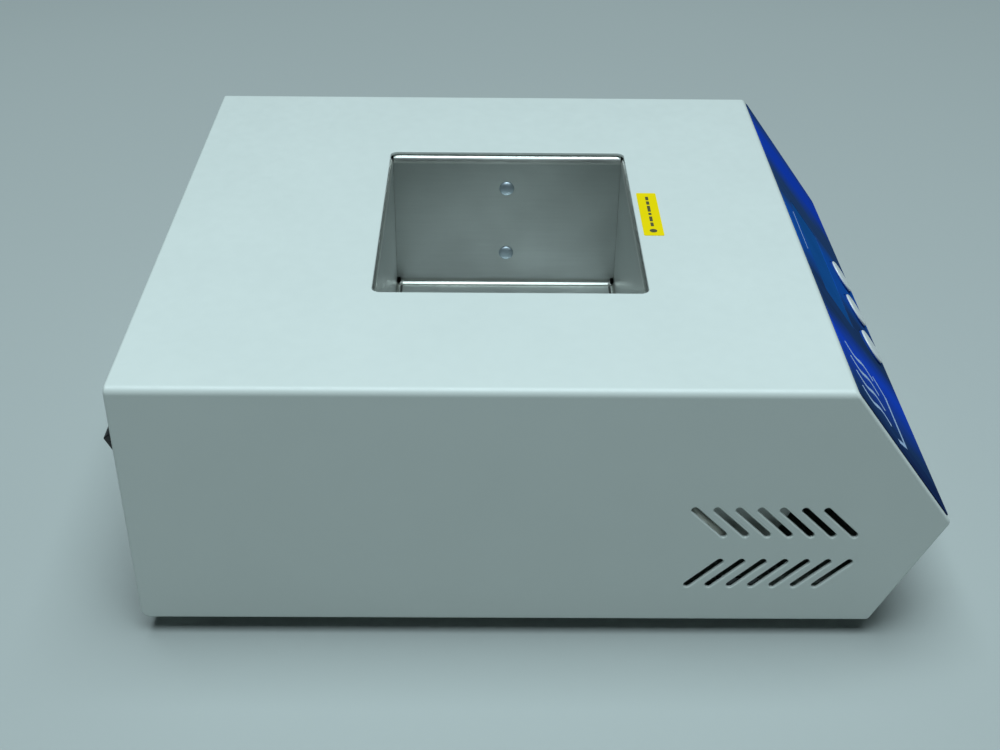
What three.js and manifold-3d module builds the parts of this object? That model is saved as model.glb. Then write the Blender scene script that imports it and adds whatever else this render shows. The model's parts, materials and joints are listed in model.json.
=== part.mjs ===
// A single-block dry heater: a folded sheet-metal housing round a heated well for one aluminium tube block.
// Units are millimetres. +Z is up, the control panel faces -Y, and the origin is on the table under the middle
// of the whole object.
import * as THREE from "three";
import { mergeVertices } from "three/addons/utils/BufferGeometryUtils.js";
import Module from "manifold-3d";

const wasm = await Module();
wasm.setup();

// ---------------------------------------------------------------- driving dimensions
const BODY_WIDTH = 200;
const BODY_HEIGHT = 80;
const TOP_LENGTH = 196.5; // rear edge to the front edge of the top
const NOSE_LENGTH = 229; // rear edge to the nose, the foremost edge
const NOSE_HEIGHT = 36.5; // nose above the underside
const BASE_LENGTH = 211.5; // rear edge to the front edge of the underside
const FOOT_HEIGHT = 6;
const REAR_REACH = 7.25; // how far the switch's raised end stands behind the rear edge
const SHEET = 1; // steel sheet of the housing
const COVER_BEND = 1.2; // inside radius of the cover's two bends
const PANEL_BEND = 0.3; // inside radius of the front panel's folds
const FOLD = 0.8; // inside radius of the folds in the base and the rear panel
const FIT = 0.3; // gap between parts that are fastened together
const FACE_GAP = 0.1; // gap between a part and the face that it lies on
const PANEL_RECESS = 0.15; // front panel behind the cover's sloped edges
const REAR_RECESS = 1; // rear panel behind the cover's rear edge

const WELL_CENTRE = -106.6; // y of the well's middle, from the rear edge
const OPENING = { x: 97.7, y: 80.8, corner: 2.6 }; // the hole in the cover over the well
const WELL_INSET = 0.6; // liner walls inside the opening's edge
const WELL_DEPTH = 52; // top of the cover to the well's floor
const LINER_SHEET = 1.2;
const LINER_BEND = 1.6; // inside radius of the liner's folds

const VENT = { pitch: 6.115, first: -161.7, rows: [36.3, 17.8], count: 7, radius: 1, half: 6.1 };

const SWITCH = { x: -77, z: 44.8, pivot: 0.9, tilt: 10, width: 14, cutout: [19, 22.6] };
const INLET = { x: -38, z: 40, cutout: [27.6, 36.6] };
const DISPLAY = { width: 62, height: 18, fromTop: 20 };
const BUTTON = { x: -1, pitch: 22.8, radius: 6.25, collar: 7.4, fromTop: 42.5, rise: 1.2, clearance: 0.3 };
const OVERLAY = { thickness: 0.3, corner: 1.5, side: 0.4, top: 1.7, nose: 1 }; // with its three margins
const LABEL = { x: 2, y: -151.9, length: 30, width: 6.4, thickness: 0.15 };

// ---------------------------------------------------------------- materials
const finish = (color, roughness, metalness = 0) =>
  new THREE.MeshStandardMaterial({ color, roughness, metalness });
const MATERIAL = {
  paint: finish(0xdcdccb, 0.5),
  aluminium: finish(0xa9adaf, 0.35, 1),
  steel: finish(0xb4b6b8, 0.35, 1),
  zinc: finish(0xa7abad, 0.45, 1),
  rubber: finish(0x181818, 0.9),
  blackPlastic: finish(0x141518, 0.4),
  overlay: finish(0x14279a, 0.2),
  window: finish(0x0d2030, 0.05),
  key: finish(0xe6e8e6, 0.3),
  label: finish(0xf2e21b, 0.5),
  board: finish(0x1f5a34, 0.5),
  fibre: finish(0xe9e6da, 0.95),
  silicone: finish(0xb5512c, 0.7),
  glass: finish(0xd8e4e8, 0.05),
  copper: finish(0xc27a3a, 0.4, 1),
};

// ---------------------------------------------------------------- outlines
const v2 = ([x, y]) => new THREE.Vector2(x, y);

// A closed outline through points [x, y, radius], each corner rounded by its own radius.
function outline(points) {
  const shape = new THREE.Shape();
  points.forEach(([x, y, radius = 0], i) => {
    const corner = new THREE.Vector2(x, y);
    if (!radius) {
      if (i) shape.lineTo(x, y);
      else shape.moveTo(x, y);
      return;
    }
    const back = v2(points.at(i - 1)).sub(corner).normalize();
    const ahead = v2(points[(i + 1) % points.length]).sub(corner).normalize();
    const half = Math.acos(back.dot(ahead)) / 2;
    const start = corner.clone().addScaledVector(back, radius / Math.tan(half));
    const end = corner.clone().addScaledVector(ahead, radius / Math.tan(half));
    const centre = corner.clone().addScaledVector(back.clone().add(ahead).normalize(), radius / Math.sin(half));
    if (i) shape.lineTo(start.x, start.y);
    else shape.moveTo(start.x, start.y);
    const from = start.clone().sub(centre).angle();
    const to = end.clone().sub(centre).angle();
    shape.absarc(centre.x, centre.y, radius, from, to, back.cross(ahead) > 0);
  });
  shape.closePath();
  return shape;
}

const rectangle = (x0, x1, y0, y1, radius = 0) =>
  outline([[x0, y0, radius], [x1, y0, radius], [x1, y1, radius], [x0, y1, radius]]);

const centred = (width, height, radius = 0, x = 0, y = 0) =>
  rectangle(x - width / 2, x + width / 2, y - height / 2, y + height / 2, radius);

// A slot with round ends: its middle, half the distance between the end centres, radius and slant in degrees.
function slot(x, y, half, radius, slant) {
  const along = THREE.MathUtils.degToRad(slant);
  const [dx, dy] = [half * Math.cos(along), half * Math.sin(along)];
  const shape = new THREE.Shape();
  shape.absarc(x + dx, y + dy, radius, along - Math.PI / 2, along + Math.PI / 2);
  shape.absarc(x - dx, y - dy, radius, along + Math.PI / 2, along + Math.PI * 1.5);
  shape.closePath();
  return shape;
}

// The open path moved to its left by a distance.
function moved(path, distance) {
  return path.map((point, i) => {
    const before = i > 0 && v2(point).sub(v2(path[i - 1])).normalize();
    const after = i < path.length - 1 && v2(path[i + 1]).sub(v2(point)).normalize();
    const normals = [before, after].filter(Boolean).map((d) => new THREE.Vector2(-d.y, d.x));
    const sum = normals.reduce((a, b) => a.clone().add(b));
    const stretch = normals.length > 1 ? distance / (1 + normals[0].dot(normals[1])) : distance;
    return v2(point).addScaledVector(sum, stretch).toArray();
  });
}

// The section of a folded sheet: an open path on one face, the other face to its left, and every fold rounded.
function folded(path, thickness, inside) {
  const other = moved(path, thickness);
  const turn = (i) => v2(path[i]).sub(v2(path[i - 1])).cross(v2(path[i + 1]).sub(v2(path[i])));
  const radii = path.map((_, i) => {
    if (i === 0 || i === path.length - 1) return [0, 0];
    return turn(i) > 0 ? [inside + thickness, inside] : [inside, inside + thickness];
  });
  const near = path.map(([x, y], i) => [x, y, radii[i][0]]);
  const far = other.map(([x, y], i) => [x, y, radii[i][1]]);
  return outline([...near, ...far.reverse()]);
}

// ---------------------------------------------------------------- solids
const [X, Y, Z] = [new THREE.Vector3(1, 0, 0), new THREE.Vector3(0, 1, 0), new THREE.Vector3(0, 0, 1)];
const AXIS_FRAME = {
  x: new THREE.Matrix4().makeBasis(Y, Z, X), // outline drawn in y, z
  y: new THREE.Matrix4().makeBasis(X, Z, Y.clone().negate()), // outline drawn in x, z
  z: new THREE.Matrix4(), // outline drawn in x, y
};

// Outlines pushed along an axis from one place to another.
function extruded(shapes, axis, from, to, curveSegments = 4) {
  const geometry = new THREE.ExtrudeGeometry(shapes, { depth: to - from, bevelEnabled: false, curveSegments });
  geometry.applyMatrix4(AXIS_FRAME[axis]);
  if (axis === "x") return geometry.translate(from, 0, 0);
  return axis === "y" ? geometry.translate(0, to, 0) : geometry.translate(0, 0, from);
}

const block = (x0, x1, y0, y1, z0, z1) => extruded(rectangle(x0, x1, y0, y1), "z", z0, z1);

// A regular polygon's outline; a and b are its middle in the outline's two directions.
function polygon(radius, sides, a = 0, b = 0) {
  const turns = Array.from({ length: sides }, (_, i) => (2 * Math.PI * i) / sides);
  return outline(turns.map((turn) => [a + radius * Math.cos(turn), b + radius * Math.sin(turn)]));
}

const bar = (radius, axis, a, b, from, to, sides = 16) =>
  extruded(polygon(radius, sides, a, b), axis, from, to);

// A profile [radius, height] turned about Z.
const turned = (profile, sides = 16) =>
  new THREE.LatheGeometry(profile.map(([r, z]) => new THREE.Vector2(r, z)), sides).rotateX(Math.PI / 2);

function toSolid(geometry) {
  const bare = geometry.clone();
  bare.deleteAttribute("normal");
  bare.deleteAttribute("uv");
  const merged = mergeVertices(bare, 1e-4);
  const vertProperties = merged.attributes.position.array;
  const triVerts = new Uint32Array(merged.index.array);
  return new wasm.Manifold(new wasm.Mesh({ numProp: 3, vertProperties, triVerts }));
}

function toGeometry(solid) {
  const mesh = solid.getMesh();
  const geometry = new THREE.BufferGeometry();
  geometry.setAttribute("position", new THREE.BufferAttribute(mesh.vertProperties, 3));
  geometry.setIndex(new THREE.BufferAttribute(mesh.triVerts, 1));
  geometry.computeVertexNormals();
  return geometry;
}

const joined = (...pieces) => toGeometry(pieces.map(toSolid).reduce((a, b) => a.add(b)));
const cut = (piece, ...tools) => toGeometry(tools.map(toSolid).reduce((a, b) => a.subtract(b), toSolid(piece)));
const common = (a, b) => toGeometry(toSolid(a).intersect(toSolid(b)));

// ---------------------------------------------------------------- the assembly
// body's own origin is at the bottom of the housing's rear edge, so a place d in front of that edge has y = -d.
const part = new THREE.Group();
const body = new THREE.Group();
body.position.set(0, (NOSE_LENGTH - REAR_REACH) / 2, FOOT_HEIGHT);
part.add(body);

function add(name, geometry, material, parent = body) {
  const mesh = new THREE.Mesh(geometry, material);
  mesh.name = name;
  parent.add(mesh);
  return mesh;
}

const HALF_WIDTH = BODY_WIDTH / 2;
const INNER_HALF = HALF_WIDTH - SHEET - FIT; // half the width of what fits between the cover's sides
const TOP_EDGE = [-TOP_LENGTH, BODY_HEIGHT];
const NOSE = [-NOSE_LENGTH, NOSE_HEIGHT];
const BOTTOM_EDGE = [-BASE_LENGTH, 0];
const CEILING = BODY_HEIGHT - SHEET - FIT; // highest place for a flange under the cover
const FLOOR = SHEET + FACE_GAP; // top of the base sheet

// The panel frame: origin in the middle of the sloped face, x right, y up the slope, z out of the face.
const slope = v2(TOP_EDGE).sub(v2(NOSE));
const SLOPE_LENGTH = slope.length();
const panel = new THREE.Group();
panel.position.set(0, (TOP_EDGE[0] + NOSE[0]) / 2, (TOP_EDGE[1] + NOSE[1]) / 2);
panel.rotation.x = slope.angle();
panel.updateMatrix();
body.add(panel);
const fromPanel = (geometry) => geometry.applyMatrix4(panel.matrix);
const downSlope = (distance) => SLOPE_LENGTH / 2 - distance;
const PANEL_FACE = -PANEL_RECESS; // outer face of the front panel in the panel frame
const PANEL_BACK = PANEL_FACE - SHEET;
const OVERLAY_FACE = PANEL_FACE + FACE_GAP + OVERLAY.thickness;
const buttonPlaces = [-1, 0, 1].map((i) => BUTTON.x + i * BUTTON.pitch);
const BUTTON_Y = downSlope(BUTTON.fromTop);
const DISPLAY_Y = downSlope(DISPLAY.fromTop);

// ---------------------------------------------------------------- housing
function topCover() {
  const path = [[HALF_WIDTH, 0], [HALF_WIDTH, BODY_HEIGHT], [-HALF_WIDTH, BODY_HEIGHT], [-HALF_WIDTH, 0]];
  const section = folded(path, SHEET, COVER_BEND);
  const side = outline([[0, 0, 3], [0, BODY_HEIGHT], TOP_EDGE, [...NOSE, 2], [...BOTTOM_EDGE, 1.5]]);
  const opening = centred(OPENING.x, OPENING.y, OPENING.corner, 0, WELL_CENTRE);
  const vents = VENT.rows.flatMap((z, row) =>
    Array.from({ length: VENT.count }, (_, i) =>
      slot(VENT.first - i * VENT.pitch, z, VENT.half, VENT.radius, row ? -45 : 45)));
  const across = [-HALF_WIDTH - 1, HALF_WIDTH + 1];
  return cut(
    common(extruded(section, "y", -NOSE_LENGTH, 0), extruded(side, "x", ...across)),
    extruded(opening, "z", BODY_HEIGHT - 5, BODY_HEIGHT + 5, 6),
    extruded(vents, "x", ...across, 3));
}

// Rounds a panel's upper corners so that it clears the cover's bends.
const BEND_CORNER = 2;
const underBends = (geometry) => common(geometry, extruded(outline([
  [-INNER_HALF, -1], [INNER_HALF, -1],
  [INNER_HALF, CEILING, BEND_CORNER], [-INNER_HALF, CEILING, BEND_CORNER]]), "y", -NOSE_LENGTH, 0));

const FOOT_PLACES = [[-80, -22], [80, -22], [-80, -188], [80, -188]];
const BRACKET_PLACES = [[-1, -38], [1, -38], [-1, -172], [1, -172]]; // side and y of the cover's brackets
const COVER_SCREW_X = 92;
const REAR_SCREWS = [[-56, -9], [56, -9]];
const FRONT_SCREWS = [[-50, -203], [50, -203]];
const FLANGE_HOLE = 1.8;
const FOOT_HOLE = 2.2;
const screwHole = ([x, y], radius = FLANGE_HOLE) => bar(radius, "z", x, y, -1, FLOOR + 4);

function basePan() {
  const plate = block(-INNER_HALF, INNER_HALF, -BASE_LENGTH + 1, -0.8, 0, SHEET);
  const sides = [[-INNER_HALF, 9], [-INNER_HALF, 0], [INNER_HALF, 0], [INNER_HALF, 9]];
  const flanges = extruded(folded(sides, SHEET, FOLD), "y", -155, -55, 3);
  return cut(
    joined(plate, flanges),
    ...FOOT_PLACES.map((place) => screwHole(place, FOOT_HOLE)),
    ...BRACKET_PLACES.map(([side, y]) => screwHole([side * COVER_SCREW_X, y])),
    ...[...REAR_SCREWS, ...FRONT_SCREWS].map((place) => screwHole(place)));
}

// Where the line through two points reaches a height.
const atHeight = ([y0, z0], [y1, z1], z) => [y0 + ((y1 - y0) * (z - z0)) / (z1 - z0), z];

function frontPanel() {
  const [top, nose, bottom] = moved([TOP_EDGE, NOSE, BOTTOM_EDGE], PANEL_RECESS);
  const upper = atHeight(top, nose, CEILING);
  const lower = atHeight(nose, bottom, FLOOR);
  const path = [[upper[0] + 9, CEILING], upper, nose, lower, [lower[0] + 12, FLOOR]];
  const section = folded(path, SHEET, PANEL_BEND);
  const through = (shape, segments) => fromPanel(extruded(shape, "z", PANEL_BACK - 1, 1, segments));
  return cut(
    underBends(extruded(section, "x", -INNER_HALF, INNER_HALF, 4)),
    through(centred(DISPLAY.width, DISPLAY.height, 0, 0, DISPLAY_Y)),
    ...buttonPlaces.map((x) =>
      fromPanel(bar(BUTTON.radius + BUTTON.clearance, "z", x, BUTTON_Y, PANEL_BACK - 1, 1, 24))),
    ...FRONT_SCREWS.map((place) => screwHole(place)));
}

function rearPanel() {
  const face = -REAR_RECESS;
  const section = folded([[-16, FLOOR], [face, FLOOR], [face, CEILING], [-12, CEILING]], SHEET, FOLD);
  return cut(
    underBends(extruded(section, "x", -INNER_HALF, INNER_HALF, 3)),
    extruded(centred(...SWITCH.cutout, 0, SWITCH.x, SWITCH.z), "y", -8, 1),
    extruded(centred(...INLET.cutout, 0, INLET.x, INLET.z), "y", -8, 1),
    ...REAR_SCREWS.map((place) => screwHole(place)));
}

function coverBracket(side, y) {
  const inner = side * (HALF_WIDTH - SHEET - 0.2);
  const legs = [[inner - side * 13, FLOOR], [inner, FLOOR], [inner, 15]];
  const path = side > 0 ? legs : legs.reverse();
  return cut(extruded(folded(path, SHEET, 0.6), "y", y - 6, y + 6, 3), screwHole([side * COVER_SCREW_X, y]));
}

// A pan-head screw pointing up: head radius and height, shank radius and length; z = 0 is under the head.
const screw = (headRadius, headHeight, radius, length) =>
  turned([[0, -headHeight], [headRadius * 0.75, -headHeight], [headRadius, -headHeight * 0.4], [headRadius, 0],
    [radius, 0], [radius, length], [0, length]], 10);

const SHEET_SCREW = [3, 2, 1.5, 5];
const FOOT_SCREW = [3.8, 2.1, 1.9, 7.5];

const FOOT_SEAT = -3; // where the screw's head clamps the foot
const foot = () =>
  turned([[2.4, FOOT_SEAT], [4.3, FOOT_SEAT], [4.3, -FOOT_HEIGHT], [7.4, -FOOT_HEIGHT], [8, -FOOT_HEIGHT + 0.6],
    [9, -FACE_GAP], [2.4, -FACE_GAP], [2.4, FOOT_SEAT]], 18);

add("top_cover", topCover(), MATERIAL.paint);
add("base_pan", basePan(), MATERIAL.paint);
add("front_panel", frontPanel(), MATERIAL.paint);
add("rear_panel", rearPanel(), MATERIAL.paint);
BRACKET_PLACES.forEach(([side, y], i) => {
  add(`cover_bracket_${i + 1}`, coverBracket(side, y), MATERIAL.zinc);
  add(`cover_screw_${i + 1}`, screw(...SHEET_SCREW), MATERIAL.steel)
    .position.set(side * COVER_SCREW_X, y, -FACE_GAP);
});
FOOT_PLACES.forEach(([x, y], i) => {
  add(`foot_${i + 1}`, foot(), MATERIAL.rubber).position.set(x, y, 0);
  add(`foot_screw_${i + 1}`, screw(...FOOT_SCREW), MATERIAL.steel).position.set(x, y, FOOT_SEAT - FACE_GAP);
});
[["rear", REAR_SCREWS], ["front", FRONT_SCREWS]].forEach(([end, places]) =>
  places.forEach(([x, y], i) =>
    add(`${end}_panel_screw_${i + 1}`, screw(...SHEET_SCREW), MATERIAL.steel).position.set(x, y, -FACE_GAP)));
add("caution_label", extruded(centred(LABEL.length, LABEL.width, 0.6, LABEL.x, LABEL.y), "z",
  BODY_HEIGHT, BODY_HEIGHT + LABEL.thickness), MATERIAL.label);

// ---------------------------------------------------------------- heated well
const WELL_FLOOR = BODY_HEIGHT - WELL_DEPTH;
const WELL_HALF = { x: OPENING.x / 2 - WELL_INSET, y: OPENING.y / 2 - WELL_INSET };
const RIM = BODY_HEIGHT - SHEET - FACE_GAP; // top of the liner's flanges, under the cover
const SEAM = 0.3; // open slit between two folded walls
const LINER_BACK = WELL_HALF.x + LINER_SHEET;
const WELL_RIVETS = { upper: 66.4, lower: 40.7 }; // heights on the right-hand wall
const RIVET_HOLE = 1.7;
const RELIEF_HOLE = 1.3; // at the floor's corners, where the folds meet
const LINER_FLANGE = 7;

function wellLiner() {
  const wall = (half, middle) => folded([
    [middle + half + LINER_FLANGE, RIM], [middle + half, RIM], [middle + half, WELL_FLOOR],
    [middle - half, WELL_FLOOR], [middle - half, RIM], [middle - half - LINER_FLANGE, RIM],
  ], LINER_SHEET, LINER_BEND);
  const reach = { x: WELL_HALF.x - SEAM, y: WELL_HALF.y - SEAM };
  const relief = [-1, 1].flatMap((i) => [-1, 1].map((j) =>
    bar(RELIEF_HOLE, "z", i * WELL_HALF.x, WELL_CENTRE + j * WELL_HALF.y,
      WELL_FLOOR - 3, WELL_FLOOR + 2.4, 12)));
  const rivetHoles = Object.values(WELL_RIVETS).map((z) =>
    bar(RIVET_HOLE, "x", WELL_CENTRE, z, WELL_HALF.x - 1, LINER_BACK + 1, 12));
  return cut(
    joined(
      extruded(wall(WELL_HALF.x, 0), "y", WELL_CENTRE - reach.y, WELL_CENTRE + reach.y),
      extruded(wall(WELL_HALF.y, WELL_CENTRE), "x", -reach.x, reach.x)),
    ...relief, ...rivetHoles);
}

// A slab under the well, centred on it.
const underWell = (width, length, z0, z1) =>
  block(-width / 2, width / 2, WELL_CENTRE - length / 2, WELL_CENTRE + length / 2, z0, z1);
const HEATER = { plate: [20.6, 26.7], mat: [18.8, 20.3], clamp: [16.5, 18.5], wool: [6, 16.2] };
const CUTOUT_RADIUS = 8;

const JACKET = { thickness: 9, low: 29.5, high: 74 };
function insulationJacket() {
  const inner = { x: 2 * (LINER_BACK + FIT), y: 2 * (WELL_HALF.y + LINER_SHEET + FIT) };
  const outer = { x: inner.x + 2 * JACKET.thickness, y: inner.y + 2 * JACKET.thickness };
  return cut(
    extruded(centred(outer.x, outer.y, 6, 0, WELL_CENTRE), "z", JACKET.low, JACKET.high),
    extruded(centred(inner.x, inner.y, 0, 0, WELL_CENTRE), "z", JACKET.low - 1, JACKET.high + 1),
    block(LINER_BACK - 1, outer.x / 2 + 1, WELL_CENTRE - 18, WELL_CENTRE + 18, 33, JACKET.high + 1));
}

// A strip over the probe, its two ears riveted to the liner's wall; drawn in x, z and as wide as the strip.
function sensorClamp() {
  const back = LINER_BACK + 0.2;
  const saddle = (WELL_RIVETS.upper + WELL_RIVETS.lower) / 2;
  const path = [[back, 35.5], [back, saddle - 4], [back + 5.2, saddle - 2.6], [back + 5.2, saddle + 2.6],
    [back, saddle + 4], [back, 71.5]];
  return cut(
    extruded(folded(path.reverse(), 0.8, 0.3), "y", WELL_CENTRE - 5, WELL_CENTRE + 5, 3),
    ...Object.values(WELL_RIVETS).map((z) => bar(RIVET_HOLE, "x", WELL_CENTRE, z, back - 2, back + 4, 12)));
}

function heaterBracket(end) {
  const clampEdge = WELL_CENTRE + end * 38;
  const shelf = HEATER.clamp[0] - SHEET - FACE_GAP;
  const path = [[clampEdge - end * 14, shelf], [clampEdge + end * 6, shelf], [clampEdge + end * 6, FLOOR],
    [clampEdge + end * 12, FLOOR]];
  return extruded(folded(end > 0 ? path : path.reverse(), SHEET, 0.6), "x", -30, 30, 3);
}

add("well_liner", wellLiner(), MATERIAL.aluminium);
const RIVET_PROFILE = [[0, -1.2], [1.1, -1.05], [2, -0.65], [2.6, 0], [1.5, 0], [1.5, 3.6], [0, 3.6]];
Object.entries(WELL_RIVETS).forEach(([place, z]) => {
  const rivet = add(`well_rivet_${place}`, turned(RIVET_PROFILE), MATERIAL.steel);
  rivet.rotation.y = Math.PI / 2;
  rivet.position.set(WELL_HALF.x - FACE_GAP, WELL_CENTRE, z);
});
add("sensor_clamp", sensorClamp(), MATERIAL.zinc);
add("temperature_probe", bar(2, "y", LINER_BACK + 2.5, (WELL_RIVETS.upper + WELL_RIVETS.lower) / 2,
  WELL_CENTRE - 16, WELL_CENTRE + 16, 12), MATERIAL.steel);
add("heater_plate", underWell(90, 73, ...HEATER.plate), MATERIAL.aluminium);
add("heater_mat", underWell(88, 71, ...HEATER.mat), MATERIAL.silicone);
add("heater_clamp_plate", underWell(90, 73, ...HEATER.clamp), MATERIAL.zinc);
add("insulation_base", cut(underWell(92, 46, ...HEATER.wool),
  bar(CUTOUT_RADIUS + 1, "z", 0, WELL_CENTRE, HEATER.wool[0] - 1, HEATER.wool[1] + 1, 20)), MATERIAL.fibre);
add("thermal_cutout", joined(
  bar(CUTOUT_RADIUS, "z", 0, WELL_CENTRE, 9, HEATER.wool[1], 20),
  bar(5, "z", 0, WELL_CENTRE, 5, 9.5, 16)), MATERIAL.blackPlastic);
add("insulation_jacket", insulationJacket(), MATERIAL.fibre);
add("heater_bracket_rear", heaterBracket(1), MATERIAL.zinc);
add("heater_bracket_front", heaterBracket(-1), MATERIAL.zinc);

// Keeps the well's heat off the electronics behind the panel; its two ears run forward behind the upper vents.
const BAFFLE = { y: -158.5, halfWidth: 85, earX: 94.5, earFront: [-179.6, -192], ears: [24, 50], top: 72 };
function heatBaffle() {
  const web = extruded(
    folded([[BAFFLE.y - 13, FLOOR], [BAFFLE.y, FLOOR], [BAFFLE.y, BAFFLE.top]], SHEET, 0.6),
    "x", -BAFFLE.halfWidth, BAFFLE.halfWidth, 3);
  const [low, high] = BAFFLE.ears;
  const [front, furthest] = BAFFLE.earFront;
  const blank = extruded(
    folded([[BAFFLE.earX, furthest], [BAFFLE.earX, BAFFLE.y], [-BAFFLE.earX, BAFFLE.y],
      [-BAFFLE.earX, furthest]], SHEET, 0.6), "z", low, high, 3);
  const profile = outline([[BAFFLE.y + 2, low - 1], [front, low], [furthest, high], [BAFFLE.y + 2, high + 1]]);
  const ears = common(blank, extruded(profile, "x", -HALF_WIDTH, HALF_WIDTH));
  const cableGap = block(60, 90, BAFFLE.y - 20, BAFFLE.y + 1, -1, 16);
  return cut(joined(web, ears), cableGap);
}
add("heat_baffle", heatBaffle(), MATERIAL.zinc);

// ---------------------------------------------------------------- control panel, in the panel frame
const BOARD = { width: 150, height: 42, face: -12.4, thickness: 1.6, y: -1 };
const LCD = { width: 76, height: 27, thickness: 6.5, glass: [58, 15] };
const STANDOFF_PLACES = [-68, 68].flatMap((x) => [-18, 16].map((y) => [x, y]));
const SHAFT = { radius: 1.6, end: -9.4 };
const KEY_SWITCH = { size: 7, well: 2.1, front: -8 };

function frontOverlay() {
  const edge = INNER_HALF - OVERLAY.side;
  const [bottom, top] = [downSlope(SLOPE_LENGTH - OVERLAY.nose), downSlope(OVERLAY.top)];
  const shape = rectangle(-edge, edge, bottom, top, OVERLAY.corner);
  return cut(
    extruded(shape, "z", PANEL_FACE + FACE_GAP, OVERLAY_FACE),
    extruded(centred(DISPLAY.width, DISPLAY.height, 1, 0, DISPLAY_Y), "z", PANEL_FACE - 1, 1),
    ...buttonPlaces.map((x) => bar(BUTTON.radius + BUTTON.clearance, "z", x, BUTTON_Y, PANEL_FACE - 1, 1, 24)));
}

// A round key: nearly flat cap, a collar that stops it behind the panel, and the shaft that works its switch.
function button() {
  const top = OVERLAY_FACE + BUTTON.rise;
  const collar = PANEL_BACK - FIT;
  return turned([[0, SHAFT.end], [SHAFT.radius, SHAFT.end], [SHAFT.radius, collar - 1.2],
    [BUTTON.collar, collar - 1.2], [BUTTON.collar, collar], [BUTTON.radius, collar], [BUTTON.radius, top - 0.7],
    [BUTTON.radius - 0.4, top - 0.3], [BUTTON.radius - 2.4, top - 0.08], [0, top]], 24);
}

function controlBoard() {
  const back = BOARD.face - BOARD.thickness;
  const plate = extruded(centred(BOARD.width, BOARD.height, 2, 0, BOARD.y), "z", back, BOARD.face);
  const { size } = KEY_SWITCH;
  const keySwitches = buttonPlaces.map((x) => cut(
    extruded(centred(size, size, 0, x, BUTTON_Y), "z", BOARD.face - 0.2, KEY_SWITCH.front),
    bar(KEY_SWITCH.well, "z", x, BUTTON_Y, BOARD.face + 0.8, KEY_SWITCH.front + 1, 12)));
  const processor = extruded(centred(12, 12, 0, -50, 4), "z", back - 1.4, BOARD.face - 1);
  const socket = extruded(centred(22, 6, 0, 50, 12), "z", back - 6, BOARD.face - 1);
  return joined(plate, ...keySwitches, processor, socket);
}

add("front_overlay", frontOverlay(), MATERIAL.overlay, panel);
add("display_window", extruded(centred(DISPLAY.width - 0.5, DISPLAY.height - 0.5, 0.8, 0, DISPLAY_Y), "z",
  PANEL_BACK, OVERLAY_FACE - 0.1), MATERIAL.window, panel);
const lcdBack = PANEL_BACK - FIT - LCD.thickness;
add("lcd_module", joined(
  extruded(centred(LCD.width, LCD.height, 1, 0, DISPLAY_Y), "z", lcdBack, PANEL_BACK - 1.2),
  extruded(centred(...LCD.glass, 0, 0, DISPLAY_Y), "z", PANEL_BACK - 2, PANEL_BACK - FIT)),
MATERIAL.blackPlastic, panel);
["left", "middle", "right"].forEach((place, i) =>
  add(`button_${place}`, button(), MATERIAL.key, panel).position.set(buttonPlaces[i], BUTTON_Y, 0));
add("control_board", controlBoard(), MATERIAL.board, panel);
STANDOFF_PLACES.forEach(([x, y], i) =>
  add(`board_standoff_${i + 1}`, bar(2.6, "z", x, y, BOARD.face + FACE_GAP, PANEL_BACK - FACE_GAP, 6),
    MATERIAL.steel, panel));

// ---------------------------------------------------------------- mains parts on the rear panel
const REAR_FACE = -REAR_RECESS + FACE_GAP / 2; // where a flange seats on the rear panel
const BEZEL = { width: 20.4, height: 24.8, corner: 2, face: 2.05 };
const ROCKER_REACH = 10; // radius of the rocker's ends about its pivot

function switchBody() {
  const { x, z } = SWITCH;
  const terminal = (dx, dz) => extruded(centred(0.8, 6.3, 0, x + dx, z + dz), "y", -25, -15);
  return joined(
    cut(
      joined(
        extruded(centred(BEZEL.width, BEZEL.height, BEZEL.corner, x, z), "y", REAR_FACE, BEZEL.face),
        extruded(centred(18.4, 22, 0, x, z), "y", -17, REAR_FACE + 0.5)),
      extruded(centred(SWITCH.width + 0.6, 2 * (ROCKER_REACH + 0.25), 0.6, x, z), "y", SWITCH.pivot - 5.9, 5)),
    terminal(-5, -5.5), terminal(5, -5.5), terminal(-5, 5.5), terminal(5, 5.5));
}

// The rocker's section in y, z about its pivot, in its middle position: two faces that meet in a shallow V,
// round ends struck from the pivot, and a keel.
function rocker() {
  const end = (degrees) => {
    const angle = THREE.MathUtils.degToRad(degrees);
    return [ROCKER_REACH * Math.sin(angle), ROCKER_REACH * Math.cos(angle)];
  };
  const upper = [29.4, 20, 10, 0, -12].map(end);
  const lower = upper.map(([y, z]) => [y, -z]).reverse();
  const section = outline([[2.4, 0], ...upper, [-4.2, 6], [-4.2, -6], ...lower]);
  return extruded(section, "x", -SWITCH.width / 2, SWITCH.width / 2);
}

add("switch_body", switchBody(), MATERIAL.blackPlastic);
const rockerMesh = add("switch_rocker", rocker(), MATERIAL.blackPlastic);
rockerMesh.position.set(SWITCH.x, SWITCH.pivot, SWITCH.z);
rockerMesh.rotation.x = THREE.MathUtils.degToRad(-SWITCH.tilt);

const SOCKET = { width: 24.4, height: 16.8, z: INLET.z - 7.5, depth: 16, chamfer: 4.6 };
const DRAWER = { width: 24, height: 7.6, z: INLET.z + 11.5, depth: 9, frontThickness: 1.6 };
const FLANGE_FACE = 1.6;

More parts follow.
